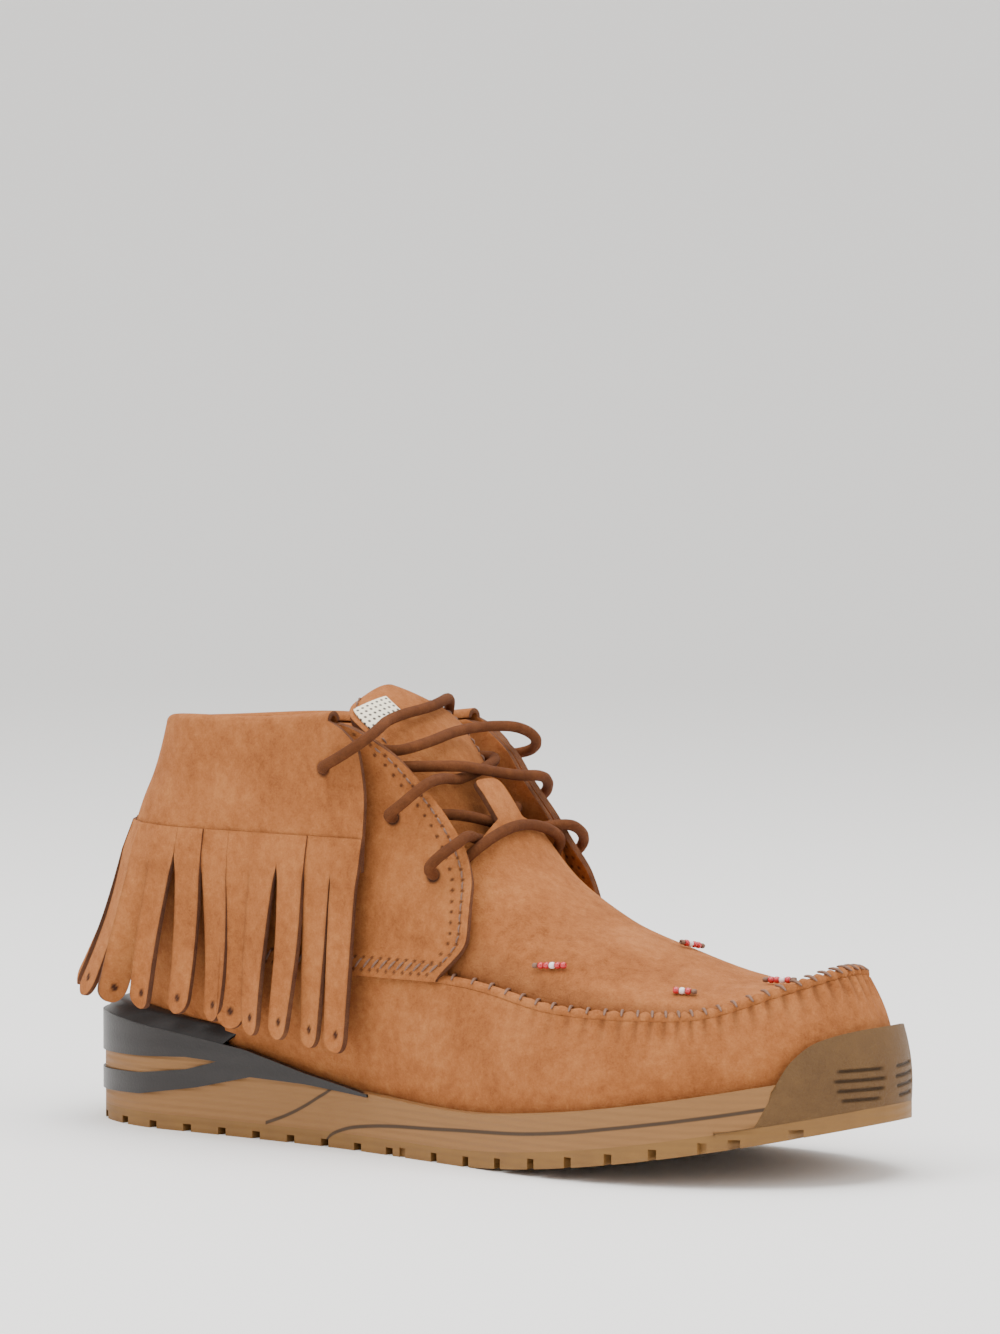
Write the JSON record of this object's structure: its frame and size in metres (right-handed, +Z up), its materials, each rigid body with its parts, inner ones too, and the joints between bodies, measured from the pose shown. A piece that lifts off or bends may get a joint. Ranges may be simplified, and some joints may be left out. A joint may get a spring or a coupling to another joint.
{
  "type": "fringed moccasin",
  "caption": "Ankle-high suede moccasin for the right foot, with a fringed fold-over collar, thong lacing, bead trim and a ribbed rubber sole.",
  "frame": {"origin": "on the ground under the middle of the shoe's length and width", "axes": "+X to the toe, +Y to the inner side of the foot, +Z up"},
  "size_m": [0.3009, 0.1032, 0.1469],
  "materials": {
    "suede": "napped suede",
    "lining_leather": "matt leather",
    "lace_suede": "matt suede",
    "gum_rubber": "matt",
    "midsole_foam": "fine ribbed matt",
    "clip_plastic": "satin",
    "bumper_rubber": "matt",
    "shank_steel": "plain",
    "board": "plain",
    "footbed_foam": "textile faced",
    "label_ribbon": "woven",
    "bead_red": "gloss",
    "bead_white": "gloss",
    "waxed_thread": "waxed"
  },
  "bodies": {
    "shoe": {"outsole": "gum_rubber", "midsole": "midsole_foam", "heel_stabilizer": "clip_plastic", "toe_bumper": "bumper_rubber", "shank": "shank_steel", "insole_board": "board", "footbed": "footbed_foam", "moc_wrap": "suede", "heel_panel": "suede", "quarter_outer": "suede", "quarter_inner": "suede", "vamp": "suede", "fringe_collar": "suede", "heel_counter": "board", "quarter_lining": "lining_leather", "lace": "lace_suede", "beads_red": "bead_red", "beads_white": "bead_white", "bead_knots": "waxed_thread"},
    "tongue": {"tongue": "suede", "tongue_lining": "lining_leather", "tongue_label": "label_ribbon"},
    "fringe_01": {"fringe_01": "suede"},
    "fringe_02": {"fringe_02": "suede"},
    "fringe_03": {"fringe_03": "suede"},
    "fringe_04": {"fringe_04": "suede"},
    "fringe_05": {"fringe_05": "suede"},
    "fringe_06": {"fringe_06": "suede"},
    "fringe_07": {"fringe_07": "suede"},
    "fringe_08": {"fringe_08": "suede"},
    "fringe_09": {"fringe_09": "suede"},
    "fringe_10": {"fringe_10": "suede"},
    "fringe_11": {"fringe_11": "suede"},
    "fringe_12": {"fringe_12": "suede"},
    "fringe_13": {"fringe_13": "suede"},
    "fringe_14": {"fringe_14": "suede"},
    "fringe_15": {"fringe_15": "suede"},
    "fringe_16": {"fringe_16": "suede"},
    "fringe_17": {"fringe_17": "suede"},
    "fringe_18": {"fringe_18": "suede"},
    "fringe_19": {"fringe_19": "suede"},
    "fringe_20": {"fringe_20": "suede"},
    "fringe_21": {"fringe_21": "suede"},
    "fringe_22": {"fringe_22": "suede"},
    "fringe_23": {"fringe_23": "suede"},
    "fringe_24": {"fringe_24": "suede"},
    "fringe_25": {"fringe_25": "suede"},
    "fringe_26": {"fringe_26": "suede"}
  },
  "joints": [
    {"name": "tongue_lean", "type": "hinge", "parent": "shoe", "child": "tongue", "pos_m": [0.027, 0, 0.0755], "axis": [0, -1, 0], "range_deg": [0, 8]},
    {"name": "strip_01_swing", "type": "hinge", "parent": "shoe", "child": "fringe_01", "pos_m": [-0.02381, -0.0418, 0.09], "axis": [-1, 0, 0], "range_deg": [0, 40]},
    {"name": "strip_02_swing", "type": "hinge", "parent": "shoe", "child": "fringe_02", "pos_m": [-0.0346, -0.0418, 0.09], "axis": [-1, 0, 0], "range_deg": [0, 40]},
    {"name": "strip_03_swing", "type": "hinge", "parent": "shoe", "child": "fringe_03", "pos_m": [-0.04539, -0.0418, 0.09], "axis": [-1, 0, 0], "range_deg": [0, 40]},
    {"name": "strip_04_swing", "type": "hinge", "parent": "shoe", "child": "fringe_04", "pos_m": [-0.05619, -0.0418, 0.09], "axis": [-1, 0, 0], "range_deg": [0, 40]},
    {"name": "strip_05_swing", "type": "hinge", "parent": "shoe", "child": "fringe_05", "pos_m": [-0.06698, -0.0418, 0.09], "axis": [-1, 0, 0], "range_deg": [0, 40]},
    {"name": "strip_06_swing", "type": "hinge", "parent": "shoe", "child": "fringe_06", "pos_m": [-0.07777, -0.0418, 0.09], "axis": [-1, 0, 0], "range_deg": [0, 40]},
    {"name": "strip_07_swing", "type": "hinge", "parent": "shoe", "child": "fringe_07", "pos_m": [-0.08831, -0.04179, 0.09], "axis": [-1, 0.009, 0], "range_deg": [0, 40]},
    {"name": "strip_08_swing", "type": "hinge", "parent": "shoe", "child": "fringe_08", "pos_m": [-0.09937, -0.04132, 0.09], "axis": [-0.9958, 0.0913, 0], "range_deg": [0, 40]},
    {"name": "strip_09_swing", "type": "hinge", "parent": "shoe", "child": "fringe_09", "pos_m": [-0.11017, -0.03929, 0.09], "axis": [-0.9553, 0.2958, 0], "range_deg": [0, 40]},
    {"name": "strip_10_swing", "type": "hinge", "parent": "shoe", "child": "fringe_10", "pos_m": [-0.12009, -0.03443, 0.09], "axis": [-0.8104, 0.5859, 0], "range_deg": [0, 40]},
    {"name": "strip_11_swing", "type": "hinge", "parent": "shoe", "child": "fringe_11", "pos_m": [-0.12764, -0.02638, 0.09], "axis": [-0.5335, 0.8458, 0], "range_deg": [0, 40]},
    {"name": "strip_12_swing", "type": "hinge", "parent": "shoe", "child": "fringe_12", "pos_m": [-0.13181, -0.01617, 0.09], "axis": [-0.2286, 0.9735, 0], "range_deg": [0, 40]},
    {"name": "strip_13_swing", "type": "hinge", "parent": "shoe", "child": "fringe_13", "pos_m": [-0.13315, -0.00536, 0.09], "axis": [-0.0441, 0.999, 0], "range_deg": [0, 40]},
    {"name": "strip_14_swing", "type": "hinge", "parent": "shoe", "child": "fringe_14", "pos_m": [-0.13315, 0.00536, 0.09], "axis": [0.0441, 0.999, 0], "range_deg": [0, 40]},
    {"name": "strip_15_swing", "type": "hinge", "parent": "shoe", "child": "fringe_15", "pos_m": [-0.13181, 0.01617, 0.09], "axis": [0.2286, 0.9735, 0], "range_deg": [0, 40]},
    {"name": "strip_16_swing", "type": "hinge", "parent": "shoe", "child": "fringe_16", "pos_m": [-0.12764, 0.02638, 0.09], "axis": [0.5335, 0.8458, 0], "range_deg": [0, 40]},
    {"name": "strip_17_swing", "type": "hinge", "parent": "shoe", "child": "fringe_17", "pos_m": [-0.12009, 0.03443, 0.09], "axis": [0.8104, 0.5859, 0], "range_deg": [0, 40]},
    {"name": "strip_18_swing", "type": "hinge", "parent": "shoe", "child": "fringe_18", "pos_m": [-0.11017, 0.03929, 0.09], "axis": [0.9553, 0.2958, 0], "range_deg": [0, 40]},
    {"name": "strip_19_swing", "type": "hinge", "parent": "shoe", "child": "fringe_19", "pos_m": [-0.09937, 0.04132, 0.09], "axis": [0.9958, 0.0913, 0], "range_deg": [0, 40]},
    {"name": "strip_20_swing", "type": "hinge", "parent": "shoe", "child": "fringe_20", "pos_m": [-0.08831, 0.04179, 0.09], "axis": [1, 0.009, 0], "range_deg": [0, 40]},
    {"name": "strip_21_swing", "type": "hinge", "parent": "shoe", "child": "fringe_21", "pos_m": [-0.07777, 0.0418, 0.09], "axis": [1, 0, 0], "range_deg": [0, 40]},
    {"name": "strip_22_swing", "type": "hinge", "parent": "shoe", "child": "fringe_22", "pos_m": [-0.06698, 0.0418, 0.09], "axis": [1, 0, 0], "range_deg": [0, 40]},
    {"name": "strip_23_swing", "type": "hinge", "parent": "shoe", "child": "fringe_23", "pos_m": [-0.05619, 0.0418, 0.09], "axis": [1, 0, 0], "range_deg": [0, 40]},
    {"name": "strip_24_swing", "type": "hinge", "parent": "shoe", "child": "fringe_24", "pos_m": [-0.04539, 0.0418, 0.09], "axis": [1, 0, 0], "range_deg": [0, 40]},
    {"name": "strip_25_swing", "type": "hinge", "parent": "shoe", "child": "fringe_25", "pos_m": [-0.0346, 0.0418, 0.09], "axis": [1, 0, 0], "range_deg": [0, 40]},
    {"name": "strip_26_swing", "type": "hinge", "parent": "shoe", "child": "fringe_26", "pos_m": [-0.02381, 0.0418, 0.09], "axis": [1, 0, 0], "range_deg": [0, 40]}
  ]
}
